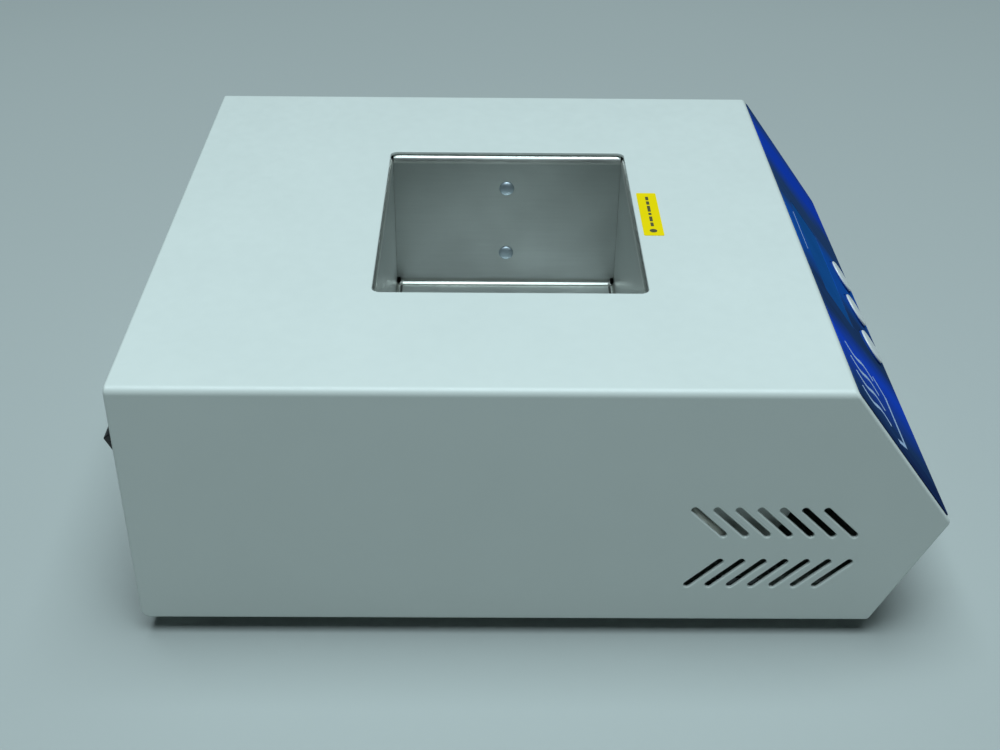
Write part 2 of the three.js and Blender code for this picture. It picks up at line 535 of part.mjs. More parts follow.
function powerInlet() {
  const { x, z } = INLET;
  const [w, h] = [SOCKET.width / 2, SOCKET.height / 2];
  const [bottom, top] = [SOCKET.z - h, SOCKET.z + h];
  const mouth = outline([
    [x - w, bottom, 1], [x + w, bottom, 1], [x + w, top - SOCKET.chamfer, 1],
    [x + w - SOCKET.chamfer, top, 1], [x - w + SOCKET.chamfer, top, 1], [x - w, top - SOCKET.chamfer, 1]]);
  const drawerHole = centred(DRAWER.width + 0.6, DRAWER.height + 0.6, 0, x, DRAWER.z);
  const shell = cut(
    joined(
      extruded(centred(31, 41, 3, x, z), "y", REAR_FACE, FLANGE_FACE),
      extruded(centred(27, 36, 1, x, z), "y", -22, REAR_FACE + 0.5)),
    extruded(mouth, "y", FLANGE_FACE - SOCKET.depth, 5),
    extruded(drawerHole, "y", FLANGE_FACE - DRAWER.depth - 1.4, 5));
  const pin = (dx, dz) => extruded(centred(2, 4, 0, x + dx, SOCKET.z + dz), "y", -29, FLANGE_FACE - 2.5);
  return joined(shell, pin(-7, -2), pin(7, -2), pin(0, 2));
}

function fuseDrawer() {
  const { x } = INLET;
  const front = FLANGE_FACE + FACE_GAP;
  const plate = centred(DRAWER.width + 2.4, DRAWER.height + 2, 1, x, DRAWER.z);
  return cut(
    joined(
      extruded(plate, "y", front, front + DRAWER.frontThickness),
      extruded(centred(DRAWER.width, DRAWER.height, 0, x, DRAWER.z), "y", front - DRAWER.depth, front + 0.5)),
    block(x - 10.6, x + 10.6, front - 7.6, front - 1, DRAWER.z - 2.9, DRAWER.z + 5),
    extruded(centred(9, 1.6, 0, x, DRAWER.z + DRAWER.height / 2 + 1), "y", front + 0.5, front + 3));
}

add("power_inlet", powerInlet(), MATERIAL.blackPlastic);
add("fuse_drawer", fuseDrawer(), MATERIAL.blackPlastic);
add("fuse", bar(2.5, "x", FLANGE_FACE - 4.3, DRAWER.z - 0.3, INLET.x - 10, INLET.x + 10, 12), MATERIAL.glass);

// ---------------------------------------------------------------- power board and wiring, behind the well
const POWER = { x: [4, 92], y: [-57, -17], z: 8 };

function powerBoard() {
  const [x0, x1] = POWER.x;
  const [y0, y1] = POWER.y;
  const spacers = [[x0 + 4, y0 + 5], [x1 - 4, y0 + 5], [x0 + 4, y1 - 4], [x1 - 4, y1 - 4]].map(([x, y]) =>
    bar(3, "z", x, y, FLOOR, POWER.z + 0.2, 10));
  const terminals = cut(
    block(62, 86, y0 + 1, y0 + 11, POWER.z + 1, POWER.z + 13),
    ...[66, 74, 82].map((x) => bar(2, "y", x, POWER.z + 6, y0 - 1, y0 + 6, 10)));
  const ribbonSocket = block(22, 44, y0 + 1, y0 + 6, POWER.z + 1, POWER.z + 9);
  return joined(block(x0, x1, y0, y1, POWER.z, POWER.z + 1.6), ...spacers, terminals, ribbonSocket);
}

function transformer() {
  const z = POWER.z + 1.9;
  return joined(
    block(14, 54, -44, -28, z + 3, z + 35),
    block(19, 49, -49, -23, z, z + 30));
}

function heatsink() {
  const z = POWER.z + 1.9;
  const fins = [62, 68, 74, 80, 86].map((x) => block(x - 0.8, x + 0.8, -40, -20, z, z + 28));
  return joined(block(61.2, 86.8, -32, -28, z, z + 28), ...fins);
}

// A lead of round section along a smooth line through points.
function lead(radius, points, steps) {
  const route = new THREE.CatmullRomCurve3(points.map((p) => new THREE.Vector3(...p)));
  return new THREE.ExtrudeGeometry(polygon(radius, 8), { extrudePath: route, steps, bevelEnabled: false });
}

add("power_board", powerBoard(), MATERIAL.board);
add("transformer", transformer(), MATERIAL.copper);
add("triac_heatsink", heatsink(), MATERIAL.aluminium);
add("heater_lead", lead(1.5, [
  [45.5, -77, 19.5], [52, -77, 19], [64, -74, 16], [72, -68, 14], [74, -62, 14], [74, -57.6, 14],
], 14), MATERIAL.fibre);
add("control_cable", lead(1.8, [
  [33, -57.4, 13], [34, -62, 12], [48, -68, 8], [70, -72, 5.5], [79, -86, 5], [79, -130, 5],
  [77, -152, 6], [74, -166, 8], [68, -178, 14], [60, -186, 26], [50, -190.5, 40], [50, -194, 50],
], 40), MATERIAL.blackPlastic);

export default part;
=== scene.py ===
"""A single-block dry heater: the visible surfaces and finishes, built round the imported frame.

Pieces are drawn in millimetres in the housing's own frame: x to the user's right, y from the rear edge (0)
towards the front (negative), z up from the housing's underside. The sloped control panel has its own frame.
"""

import json
import math

import bmesh
import bpy
from mathutils import Matrix, Vector

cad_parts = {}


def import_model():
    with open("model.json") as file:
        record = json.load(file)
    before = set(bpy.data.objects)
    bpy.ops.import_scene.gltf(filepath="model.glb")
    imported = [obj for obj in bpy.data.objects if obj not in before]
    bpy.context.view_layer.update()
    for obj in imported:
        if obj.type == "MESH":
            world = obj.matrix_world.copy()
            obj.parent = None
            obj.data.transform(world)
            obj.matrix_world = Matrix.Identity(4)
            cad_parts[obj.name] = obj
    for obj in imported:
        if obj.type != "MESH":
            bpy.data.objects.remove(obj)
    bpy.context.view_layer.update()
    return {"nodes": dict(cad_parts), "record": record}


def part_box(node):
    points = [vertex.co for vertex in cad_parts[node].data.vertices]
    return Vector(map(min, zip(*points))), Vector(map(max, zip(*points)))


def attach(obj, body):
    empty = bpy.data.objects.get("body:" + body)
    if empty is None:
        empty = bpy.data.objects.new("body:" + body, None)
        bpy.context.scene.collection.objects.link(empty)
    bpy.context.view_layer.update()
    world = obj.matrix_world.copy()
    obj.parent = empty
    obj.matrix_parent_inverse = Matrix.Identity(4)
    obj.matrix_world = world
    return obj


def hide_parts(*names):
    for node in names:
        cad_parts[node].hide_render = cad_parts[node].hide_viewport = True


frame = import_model()

# ------------------------------------------------------------------ places and sizes, in millimetres
MM = 0.001
COVER_LOW, COVER_HIGH = (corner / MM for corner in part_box("top_cover"))
HOUSING = Matrix.Translation((0, COVER_HIGH.y, COVER_LOW.z))
HOUSING_MM = Matrix.Scale(MM, 4) @ HOUSING

HALF_WIDTH = COVER_HIGH.x
HEIGHT = COVER_HIGH.z - COVER_LOW.z
FOOT_HEIGHT = COVER_LOW.z
SHEET = 1.0
COVER_BEND = 1.2
FIT = 0.3
INNER_HALF = HALF_WIDTH - SHEET - FIT
CEILING = HEIGHT - SHEET - FIT
FLOOR = SHEET + 0.1
TOP_EDGE = (-196.5, HEIGHT)
NOSE = (-229.0, 36.5)
BOTTOM_EDGE = (-211.5, 0.0)
PANEL_RECESS = 0.15
REAR_RECESS = 1.0
UPPER_FLANGE = {"front": 9, "rear": 11}
LOWER_FLANGE = {"front": 12, "rear": 15}
BASE = {"length": 209.7, "rear_gap": 0.8, "flange": 9, "flange_from": -155, "flange_to": -55}

WELL_Y = -106.6
OPENING = {"x": 97.7, "y": 80.8, "corner": 2.6}
WELL_HALF = Vector((OPENING["x"] / 2 - 0.6, OPENING["y"] / 2 - 0.6))
WELL_FLOOR = HEIGHT - 52
LINER = 1.2
LINER_BEND = 1.6
RIM = HEIGHT - SHEET - 0.1
WELL_FLANGE = 7
RELIEF = {"radius": 1.3, "height": 2.4}
WELL_RIVETS = (66.4, 40.7)
RIVET = {"radius": 2.6, "height": 1.2, "shank": 1.5, "hole": 1.7}

# Each kind of screw: head radius and height, shank radius, length.
SCREWS = {"foot": (3.8, 2.1, 1.9, 7.5), "sheet": (3.0, 2.0, 1.5, 5.0)}
RECESS_ARM = (1.13, 0.26)  # length and width of a cross recess's arms, in head radii
SWITCH = {"x": -77.0, "z": 44.8, "cut_out": (19, 22.6), "bezel": (20.4, 24.8), "barrel": (18.4, 22)}
ROCKER = {"pivot": 0.9, "tilt": 10.0, "width": 14.0, "reach": 10.0, "rake": 29.4, "dip": 2.4}
INLET = {"x": -38.0, "z": 40.0, "cut_out": (27.6, 36.6), "shell": (31, 41), "barrel": (27, 36), "face": 1.6}
SOCKET = {"z": 32.5, "half_width": 12.2, "half_height": 8.4, "slant": 4.6, "depth": 16}
DRAWER = {"z": 51.5, "face": (26.4, 9.6), "tray": (24, 7.6), "cavity": (24.6, 8.2), "depth": 9}
DISPLAY = {"width": 62.0, "height": 18.0, "from_top": 20.0}
BUTTON = {"x": -1.0, "pitch": 22.8, "radius": 6.25, "from_top": 42.5, "rise": 1.2, "clearance": 0.3}
COLLAR = {"radius": 7.4, "thickness": 1.2, "plunger": 1.6, "end": -9.4}
HEAT_MARK = {"x": -76.0, "y": 2.5}
LABEL = {"x": 2.0, "y": -151.9, "length": 30.0, "width": 6.4, "thickness": 0.15}
VENT = {"pitch": 6.115, "first": -161.7, "rows": (36.3, 17.8), "count": 7, "radius": 1.0, "half": 6.1}

FOOT_PLACES = [(-80, -22), (80, -22), (-80, -188), (80, -188)]
COVER_SCREWS = [(-92, -38), (92, -38), (-92, -172), (92, -172)]
REAR_SCREWS = [(-56, -9), (56, -9)]
FRONT_SCREWS = [(-50, -203), (50, -203)]

# The viewpoint, in degrees and in the housing's millimetres, and the light, in metres and watts.
VIEW = {"yaw": -0.707, "pitch": 33.384, "roll": 0.702, "place": (-398.43, -99.49, 281.69), "lens": 50.0}
OVERHEAD = {"place": (-0.2, 0.0, 1.75), "aim": (0.0, 0, 0.05), "size": (1.27, 1.44), "watts": 37.4}

# The control panel's own frame: its origin in the middle of the slope, x right, y up the slope, z outwards.
SLOPE = Vector(TOP_EDGE) - Vector(NOSE)
SLOPE_LENGTH = SLOPE.length
PANEL = (HOUSING @ Matrix.Translation((0, (TOP_EDGE[0] + NOSE[0]) / 2, (TOP_EDGE[1] + NOSE[1]) / 2))
         @ Matrix.Rotation(math.atan2(SLOPE.y, SLOPE.x), 4, "X"))
PANEL_FACE = -PANEL_RECESS
PANEL_BACK = PANEL_FACE - SHEET
OVERLAY_FACE = PANEL_FACE + 0.4
DISPLAY_Y = SLOPE_LENGTH / 2 - DISPLAY["from_top"]
BUTTON_Y = SLOPE_LENGTH / 2 - BUTTON["from_top"]
KEY_PLACES = [BUTTON["x"] + i * BUTTON["pitch"] for i in (-1, 0, 1)]


# ------------------------------------------------------------------ outlines
def arc(centre, radius, start, end, steps):
    """Points on a circle from one angle to another, in degrees, both ends included."""
    angles = [math.radians(start + (end - start) * i / steps) for i in range(steps + 1)]
    return [Vector((centre[0] + radius * math.cos(a), centre[1] + radius * math.sin(a))) for a in angles]


def outline(corners, steps=8):
    """A closed outline through corners (x, y) or (x, y, radius), each rounded by its own radius."""
    points = []
    for i, corner in enumerate(corners):
        here = Vector(corner[:2])
        radius = corner[2] if len(corner) > 2 else 0
        if not radius:
            points.append(here)
            continue
        back = (Vector(corners[i - 1][:2]) - here).normalized()
        ahead = (Vector(corners[(i + 1) % len(corners)][:2]) - here).normalized()
        half = back.angle(ahead) / 2
        centre = here + (back + ahead).normalized() * radius / math.sin(half)
        start = here + back * radius / math.tan(half) - centre
        end = here + ahead * radius / math.tan(half) - centre
        turn = -start.angle_signed(end)
        points += arc(centre, radius, math.degrees(math.atan2(start.y, start.x)),
                      math.degrees(math.atan2(start.y, start.x) + turn), steps)
    return points


def rectangle(width, height, radius=0, x=0, y=0, steps=8):
    """A rectangle's outline round a centre."""
    w, h = width / 2, height / 2
    signs = [(-1, -1), (1, -1), (1, 1), (-1, 1)]
    return outline([(x + i * w, y + j * h, radius) for i, j in signs], steps)


def circle(radius, x=0, y=0, steps=48):
    return arc((x, y), radius, 0, 360, steps)[:-1]


def slot(x, y, half, radius, slant, steps=12):
    """A round-ended slot's outline: its middle, half the distance between its end centres, radius, slant."""
    along = Vector((math.cos(math.radians(slant)), math.sin(math.radians(slant)))) * half
    middle = Vector((x, y))
    return (arc(middle + along, radius, slant - 90, slant + 90, steps)
            + arc(middle - along, radius, slant + 90, slant + 270, steps))


def moved(path, distance):
    """An open path moved to its left."""
    result = []
    for i, point in enumerate(path):
        here = Vector(point)
        sides = []
        if i:
            sides.append((here - Vector(path[i - 1])).normalized())
        if i < len(path) - 1:
            sides.append((Vector(path[i + 1]) - here).normalized())
        normals = [Vector((-d.y, d.x)) for d in sides]
        if len(normals) == 2:
            result.append(here + (normals[0] + normals[1]) * distance / (1 + normals[0].dot(normals[1])))
        else:
            result.append(here + normals[0] * distance)
    return result


def folded(path, thickness, inside, steps=8):
    """A folded sheet's section: an open path on one face, the other face to its left, every fold rounded."""
    other = moved(path, thickness)
    near, far = [], []
    for i, point in enumerate(path):
        radii = (0, 0)
        if 0 < i < len(path) - 1:
            before = Vector(point) - Vector(path[i - 1])
            after = Vector(path[i + 1]) - Vector(point)
            turns_left = before.x * after.y - before.y * after.x > 0
            radii = (inside + thickness, inside) if turns_left else (inside, inside + thickness)
        near.append((point[0], point[1], radii[0]))
        far.append((other[i].x, other[i].y, radii[1]))
    return outline(near + far[::-1], steps)


# ------------------------------------------------------------------ meshes
AXES = {
    "x": Matrix(((0, 0, 1), (1, 0, 0), (0, 1, 0))),  # outline drawn in y, z
    "y": Matrix(((1, 0, 0), (0, 0, 1), (0, 1, 0))),  # outline drawn in x, z
    "z": Matrix.Identity(3),  # outline drawn in x, y
}


def from_bmesh(name, bm, place=HOUSING):
    """A new object from millimetres in a frame, its mesh in metres in the row frame."""
    bmesh.ops.recalc_face_normals(bm, faces=bm.faces)
    mesh = bpy.data.meshes.new(name)
    bm.to_mesh(mesh)
    bm.free()
    mesh.transform(Matrix.Scale(MM, 4) @ place)
    obj = bpy.data.objects.new(name, mesh)
    bpy.context.scene.collection.objects.link(obj)
    return obj


def prism(name, outlines, axis, low, high, place=HOUSING):
    """Outlines pushed along an axis from low to high."""
    bm = bmesh.new()
    for points in outlines:
        start = [bm.verts.new(AXES[axis] @ Vector((p[0], p[1], low))) for p in points]
        end = [bm.verts.new(AXES[axis] @ Vector((p[0], p[1], high))) for p in points]
        bm.faces.new(start)
        bm.faces.new(end[::-1])
        for i in range(len(points)):
            bm.faces.new((start[i - 1], start[i], end[i], end[i - 1]))
    return from_bmesh(name, bm, place)


def lathe(name, profile, place=HOUSING, steps=48):
    """A profile [radius, z] turned about the frame's z axis; a radius of 0 closes it on the axis."""
    bm = bmesh.new()
    rings = []
    for radius, z in profile:
        if radius < 1e-6:
            rings.append([bm.verts.new((0, 0, z))] * steps)
        else:
            rings.append([bm.verts.new((p.x, p.y, z)) for p in circle(radius, steps=steps)])
    pairs = list(zip(rings, rings[1:]))
    if profile[0][0] > 1e-6:
        pairs.append((rings[-1], rings[0]))
    for inner, outer in pairs:
        for i in range(steps):
            corners = [inner[i - 1], inner[i], outer[i], outer[i - 1]]
            corners = [v for k, v in enumerate(corners) if v not in corners[:k]]
            if len(corners) > 2:
                bm.faces.new(corners)
    return from_bmesh(name, bm, place)


def applied(obj):
    """Bakes an object's modifiers into its mesh."""
    depsgraph = bpy.context.evaluated_depsgraph_get()
    mesh = bpy.data.meshes.new_from_object(
        obj.evaluated_get(depsgraph), preserve_all_data_layers=True, depsgraph=depsgraph)
    obj.modifiers.clear()
    old, obj.data = obj.data, mesh
    mesh.name = obj.name
    bpy.data.meshes.remove(old)
    return obj


def combine(obj, operation, *others):
    """Joins or cuts a solid with others, which are used up."""
    for other in others:
        modifier = obj.modifiers.new("combine", "BOOLEAN")
        modifier.operation = operation
        modifier.solver = "MANIFOLD"
        modifier.object = other
        applied(obj)
        bpy.data.meshes.remove(other.data)
    return obj


def softened(obj, width, segments=3, angle=30, share=lambda middle: 1.0, clamp=True):
    """Rounds a solid's edges, each by its share of the width, and shades it smooth, with its flats flat."""
    bm = bmesh.new()
    bm.from_mesh(obj.data)
    bmesh.ops.remove_doubles(bm, verts=bm.verts, dist=1e-7)
    bmesh.ops.dissolve_limit(bm, angle_limit=math.radians(0.2), verts=bm.verts, edges=bm.edges)
    bm.normal_update()
    weights = bm.edges.layers.float.new("bevel_weight_edge")
    into_housing = HOUSING_MM.inverted()
    for edge in bm.edges:
        if edge.calc_face_angle(0) > math.radians(angle):
            edge[weights] = share(into_housing @ ((edge.verts[0].co + edge.verts[1].co) / 2))
    bm.to_mesh(obj.data)
    bm.free()
    modifier = obj.modifiers.new("edges", "BEVEL")
    modifier.width = width * MM
    modifier.segments = segments
    modifier.limit_method = "WEIGHT"
    modifier.use_clamp_overlap = clamp
    modifier.loop_slide = clamp
    modifier.harden_normals = True
    obj.data.shade_smooth()
    applied(obj)
    return obj


def ridden(obj, body, slot_name, *nodes):
    """Puts a finished piece on its body, in its material slot, in place of the CAD nodes it stands for."""
    obj.data.materials.clear()
    obj.data.materials.append(FINISH[slot_name])
    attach(obj, body)
    if nodes:
        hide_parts(*nodes)
    return obj


# ------------------------------------------------------------------ finishes
class Surface:
    """A material under construction: its node tree and a few short ways to add to it."""

    def __init__(self, name, **sockets):
        self.material = bpy.data.materials.new(name)
        self.material.use_nodes = True
        self.tree = self.material.node_tree
        self.shader = self.tree.nodes["Principled BSDF"]
        self.place = self.node("ShaderNodeTexCoord").outputs["Object"]
        for socket, value in sockets.items():
            self.shader.inputs[socket.replace("_", " ")].default_value = value

    def node(self, kind, **inputs):
        """Adds a node, and sets or links its inputs by name or number."""
        node = self.tree.nodes.new(kind)
        for key, value in inputs.items():
            socket = node.inputs[int(key[1:])] if key[0] == "i" and key[1:].isdigit() else node.inputs[key]
            self.feed(socket, value)
        return node

    def feed(self, socket, value):
        if isinstance(value, bpy.types.NodeSocket):
            self.tree.links.new(value, socket)
        else:
            socket.default_value = value

    def stretched(self, scale):
        """Object coordinates scaled, for grain that runs one way."""
        return self.node("ShaderNodeMapping", Vector=self.place, Scale=scale).outputs[0]

    def noise(self, scale, detail=2.0, roughness=0.5, place=None):
        node = self.node("ShaderNodeTexNoise", Vector=place or self.place, Scale=scale, Detail=detail,
                         Roughness=roughness)
        return node.outputs["Fac"]

    def maths(self, operation, a, b=0.0):
        node = self.node("ShaderNodeMath", i0=a, i1=b)
        node.operation = operation
        return node.outputs[0]

    def ranged(self, value, low, high, to_low=0.0, to_high=1.0, smooth=False):
        node = self.node("ShaderNodeMapRange", **{"Value": value, "From Min": low, "From Max": high,
                                                   "To Min": to_low, "To Max": to_high})
        node.interpolation_type = "SMOOTHSTEP" if smooth else "LINEAR"
        return node.outputs[0]

    def ramp(self, value, stops):
        """A colour ramp: stops are (place, colour)."""
        node = self.node("ShaderNodeValToRGB", Fac=value)
        elements = node.color_ramp.elements
        while len(elements) < len(stops):
            elements.new(0.5)
        for element, (at, colour) in zip(elements, stops):
            element.position = at
            element.color = (*colour, 1)
        return node.outputs["Color"]

    def mixed(self, factor, a, b):
        """A colour between two colours."""
        node = self.node("ShaderNodeMix")
        node.data_type = "RGBA"
        self.feed(node.inputs["Factor"], factor)
        for socket, value in ((node.inputs[6], a), (node.inputs[7], b)):
            self.feed(socket, (*value, 1) if isinstance(value, tuple) else value)
        return node.outputs[2]

    def colour(self, value):
        self.feed(self.shader.inputs["Base Color"], value)

    def roughness(self, value):
        self.feed(self.shader.inputs["Roughness"], value)

    def bump(self, *layers):
        """Relief from layers of (height, depth in millimetres)."""
        normal = None
        for height, depth in layers:
            node = self.node("ShaderNodeBump", Height=height, Distance=depth * MM, Strength=1.0)
            if normal:
                self.feed(node.inputs["Normal"], normal)
            normal = node.outputs[0]
        self.feed(self.shader.inputs["Normal"], normal)


def powder_coat():
    """Satin off-white powder coat: orange-peel relief, faint mottling."""
    s = Surface("powder_coat", Specular_IOR_Level=0.45, Coat_Weight=0.15, Coat_Roughness=0.3)
    s.colour(s.mixed(s.noise(35, 3), (0.655, 0.70, 0.67), (0.69, 0.735, 0.705)))
    s.roughness(s.ranged(s.noise(260, 2), 0.3, 0.7, 0.42, 0.52))
    s.bump((s.noise(620, 2), 0.012), (s.noise(2300, 1), 0.004))
    return s.material


def rolled_sheet(name, tint, stretch, low=0.28, high=0.42):
    """Rolled sheet metal: fine grain one way, cloudy handling marks and faint stains."""
    s = Surface(name, Metallic=1.0)
    grain = s.noise(40, 4, 0.6, s.stretched(stretch))
    clouds = s.noise(30, 3, 0.55)
    stains = s.ranged(s.maths("ADD", clouds, s.maths("MULTIPLY", grain, 0.4)), 0.5, 0.9)
    tone = s.mixed(stains, tuple(c * 0.9 for c in tint), tint)
    s.colour(tone)
    uneven = s.ranged(grain, 0.3, 0.7, -0.02, 0.02)
    s.roughness(s.maths("ADD", s.ranged(clouds, 0.3, 0.72, low, high), uneven))
    s.bump((grain, 0.0015))
    return s, tone


def well_sheet():
    """The well's sheet: a painted highlight where its rims fold out, painted shade over the fold at its
    floor, and a darker painted shade line along each fold there.
    """
    s, tone = rolled_sheet("well_metal", (0.685, 0.715, 0.695), (1, 1, 25), 0.32, 0.44)
    x, y, z = s.node("ShaderNodeSeparateXYZ", Vector=s.place).outputs
    middle = HOUSING_MM @ Vector((0, WELL_Y, WELL_FLOOR))
    ground, rim = middle.z, (HOUSING_MM @ Vector((0, WELL_Y, RIM - 2 * LINER_BEND - 0.2))).z
    # Painted highlight: above the rims' folds the sheet's colour turns near-white.
    rim_highlight = s.ranged(z, rim, rim + 0.8 * MM, smooth=True)
    tone = s.mixed(rim_highlight, tone, (0.97, 0.98, 0.94))
    # Painted shade: the floor's fold up to the walls is darkened towards a dull grey.
    fold_shade_from_floor = s.ranged(z, ground + 0.02 * MM, ground + 0.15 * MM, 0, 0.45)
    walls = ground + LINER_BEND * MM
    fold_shade_to_walls = s.ranged(z, walls, walls + 0.8 * MM, 1, 0, smooth=True)
    tone = s.mixed(s.maths("MULTIPLY", fold_shade_from_floor, fold_shade_to_walls), tone, (0.34, 0.34, 0.29))

    def fold(coordinate, centre, half):
        """1 along the two lines where the floor starts to fold up, and 0 away from them."""
        across = s.maths("ABSOLUTE", s.maths("SUBTRACT", coordinate, centre))
        away = s.maths("ABSOLUTE", s.maths("SUBTRACT", across, (half - LINER_BEND) * MM))
        return s.ranged(away, 0.3 * MM, 0.6 * MM, 1, 0, smooth=True)

    # Painted shade: a dark line along each fold where the floor turns up.
    lines = s.maths("MAXIMUM", fold(x, middle.x, WELL_HALF.x), fold(y, middle.y, WELL_HALF.y))
    lines = s.maths("MULTIPLY", lines, s.ranged(z, ground + 0.4 * MM, ground + 0.8 * MM, 0.9, 0))
    s.colour(s.mixed(lines, tone, (0.06, 0.06, 0.055)))
    return s.material


def plated(name, tint, low=0.25, high=0.4):
    """Plated steel fasteners and brackets: fine mottling, slightly uneven gloss."""
    s = Surface(name, Metallic=1.0)
    mottle = s.noise(240, 3, 0.6)
    s.colour(s.mixed(s.ranged(mottle, 0.35, 0.65), tuple(c * 0.85 for c in tint), tint))
    s.roughness(s.ranged(mottle, 0.3, 0.7, low, high))
    s.bump((s.noise(1800, 2), 0.002))
    return s.material


def moulded(name, dark, light, roughness, grain=0.006, **sockets):
    """Moulded plastic or rubber: spark-eroded grain, faint flow mottling."""
    s = Surface(name, **sockets)
    s.colour(s.mixed(s.ranged(s.noise(60, 3), 0.3, 0.7), dark, light))
    s.roughness(s.ranged(s.noise(180, 2), 0.3, 0.7, roughness - 0.05, roughness + 0.05))
    s.bump((s.noise(2600, 2), grain))
    return s.material


def printed_film():
    """The control panel's film: blue bands leaning across a navy ground, with streaks along them."""
    s = Surface("overlay", IOR=1.0)
    at = PANEL.inverted()
    place = s.node("ShaderNodeMapping", Vector=s.place, Scale=(1 / MM,) * 3, Rotation=at.to_euler(),
                   Location=at.translation).outputs[0]
    x, y, _ = s.node("ShaderNodeSeparateXYZ", Vector=place).outputs
    drift = s.maths("MULTIPLY", s.maths("SUBTRACT", s.noise(0.03, 2, place=place), 0.5), 14)
    lean = s.maths("ADD", s.maths("MULTIPLY", y, 0.35), s.maths("ADD", x, drift))
    shadow, navy, dusk = (0.011, 0.023, 0.082), (0.017, 0.043, 0.123), (0.022, 0.055, 0.152)
    teal, royal, deep = (0.009, 0.082, 0.385), (0.011, 0.062, 0.560), (0.009, 0.051, 0.465)
    bands = [(-100, shadow), (-86, navy), (-58, royal), (-40, navy), (-20, navy), (-4, teal), (22, teal),
             (34, dusk), (50, dusk), (68, deep), (82, deep), (104, dusk)]
    ink = s.ramp(s.ranged(lean, -110, 110), [((at + 110) / 220, colour) for at, colour in bands])
    sweep = s.node("ShaderNodeMapping", Vector=place, Rotation=(0, 0, math.radians(16)), Scale=(0.5, 0.03, 1))
    streaks = s.ranged(s.noise(1, 4, 0.65, sweep.outputs[0]), 0.45, 0.75, 0, 0.3)
    s.colour(s.mixed(streaks, ink, (0.03, 0.10, 0.30)))
    s.roughness(s.ranged(s.noise(400, 2), 0.3, 0.7, 0.22, 0.3))
    s.bump((s.noise(1500, 1), 0.001))
    return s.material


FINISH = {
    "paint": powder_coat(),
    "well_metal": well_sheet(),
    "aluminium": rolled_sheet("aluminium", (0.74, 0.75, 0.76), (1, 25, 25))[0].material,
    "steel": plated("steel", (0.72, 0.74, 0.75), 0.3, 0.42),
    "zinc_plate": plated("zinc_plate", (0.80, 0.81, 0.80), 0.5, 0.65),
    "rubber": moulded("rubber", (0.012, 0.012, 0.012), (0.022, 0.022, 0.021), 0.8, 0.01),
    "black_plastic": moulded("black_plastic", (0.014, 0.014, 0.016), (0.02, 0.02, 0.022), 0.42),
    "rocker_plastic": moulded("rocker_plastic", (0.012, 0.012, 0.014), (0.017, 0.017, 0.019), 0.28, 0.002),
    "component_plastic": moulded("component_plastic", (0.02, 0.02, 0.022), (0.03, 0.03, 0.033), 0.5),
    "overlay": printed_film(),
    "window": moulded("window", (0.010, 0.080, 0.28), (0.012, 0.095, 0.34), 0.12, 0.0003, IOR=1.0),
    "key_plastic": moulded("key_plastic", (0.68, 0.71, 0.71), (0.74, 0.77, 0.77), 0.24, 0.001),
    "label": moulded("label", (0.87, 0.66, 0.002), (0.91, 0.70, 0.006), 0.45, 0.001, Specular_IOR_Level=0.1),
    "circuit_board": moulded("circuit_board", (0.01, 0.09, 0.03), (0.015, 0.12, 0.04), 0.35, 0.004),
    "insulation": moulded("insulation", (0.72, 0.70, 0.62), (0.82, 0.80, 0.74), 0.95, 0.08),
    "silicone": moulded("silicone", (0.40, 0.10, 0.04), (0.48, 0.13, 0.05), 0.6, 0.01),
    "glass": moulded("glass", (0.85, 0.9, 0.92), (0.9, 0.93, 0.94), 0.08, 0.0003, Transmission_Weight=0.9),
    "copper": plated("copper", (0.55, 0.26, 0.12), 0.3, 0.45),
}


TRIM = {
    "dark": moulded("dark_ink", (0.09, 0.085, 0.03), (0.12, 0.11, 0.04), 0.5, 0.0005),
    "pale": moulded("pale_ink", (0.34, 0.50, 0.78), (0.40, 0.56, 0.84), 0.4, 0.0005),
    "white": moulded("white_ink", (0.76, 0.78, 0.78), (0.80, 0.82, 0.82), 0.4, 0.0005),
    "baffle": moulded("baffle_zinc", (0.80, 0.82, 0.80), (0.86, 0.88, 0.86), 0.6, 0.002, Metallic=0.2),
    "bracket": plated("bracket_metal", (0.09, 0.09, 0.095), 0.5, 0.6),
    # Painted reflection: the rivets' darker, bluish tint stands in for the blue reflection seen in their
    # domes.
    "rivet": plated("rivet_metal", (0.44, 0.51, 0.56), 0.5, 0.6),
    "skirt": moulded("key_skirt", (0.010, 0.05, 0.26), (0.014, 0.06, 0.30), 0.35, 0.0005, IOR=1.0),
}


# ------------------------------------------------------------------ housing
def cover_edge(middle):
    """How round a cover edge is: most round along the outer skin's outline, less round its holes."""
    near = 8
    last = VENT["first"] - (VENT["count"] - 1) * VENT["pitch"]
    reach_x, reach_y = OPENING["x"] / 2 + near, OPENING["y"] / 2 + near
    upper, lower = VENT["rows"]
    skin = max(abs(middle.x) - HALF_WIDTH, middle.z - HEIGHT) > -0.8
    vents = last - near < middle.y < VENT["first"] + near and lower - near < middle.z < upper + near
    opening = abs(middle.x) < reach_x and abs(middle.y - WELL_Y) < reach_y and middle.z > HEIGHT - 5
    if not skin:
        return 0.08
    return 0.45 if vents or opening else 1.0


